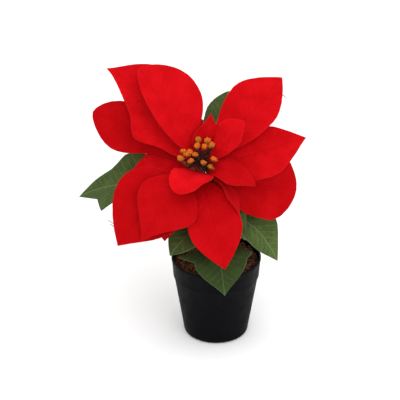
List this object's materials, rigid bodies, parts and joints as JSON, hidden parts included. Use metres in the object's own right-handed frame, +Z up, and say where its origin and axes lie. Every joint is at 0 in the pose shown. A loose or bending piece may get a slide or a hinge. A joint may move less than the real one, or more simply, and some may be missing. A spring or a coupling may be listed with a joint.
{
  "type": "artificial poinsettia in a pot",
  "caption": "Artificial poinsettia with red fabric bracts, green leaves and ochre buds on a bent stem, set in coir in a small tapered nursery pot.",
  "frame": {"origin": "middle of the flat underside of the pot", "axes": "+Z up along the pot's axis, -Y towards the front of the flower, +X to the right as seen from the front"},
  "size_m": [0.2273, 0.1605, 0.2734],
  "materials": {
    "black_plastic": "matte, faint scuffs",
    "filler_foam": "dull foam, hidden",
    "brown_coir": "rough shredded fibre",
    "green_stalk": "satin",
    "ochre_buds": "grainy, golden ochre on dark stalks",
    "red_cloth": "velvety with pressed veins",
    "green_cloth": "soft cloth with light veins"
  },
  "bodies": {
    "root": {"pot": "black_plastic", "filler": "filler_foam", "coir_topping": "brown_coir", "stem": "green_stalk", "flower_buds": "ochre_buds", "bract_outer_upper_left": "red_cloth", "bract_outer_left": "red_cloth", "bract_outer_left_low": "red_cloth", "bract_outer_front_left": "red_cloth", "bract_outer_front_low": "red_cloth", "bract_outer_right_low": "red_cloth", "bract_outer_back_left": "red_cloth", "bract_outer_back_right": "red_cloth", "bract_middle_upper_left": "red_cloth", "bract_middle_upper_right": "red_cloth", "bract_middle_right": "red_cloth", "bract_middle_front_left": "red_cloth", "bract_middle_front": "red_cloth", "bract_inner_front": "red_cloth", "bract_inner_right": "red_cloth", "bract_inner_back": "red_cloth", "bract_inner_front_right": "red_cloth", "bract_inner_low_right": "red_cloth", "leaf_left": "green_cloth", "leaf_back_right": "green_cloth", "leaf_front_left": "green_cloth", "leaf_front": "green_cloth", "leaf_right": "green_cloth", "leaf_front_right": "green_cloth", "leaf_back_left": "green_cloth", "leaf_back": "green_cloth"}
  },
  "joints": []
}
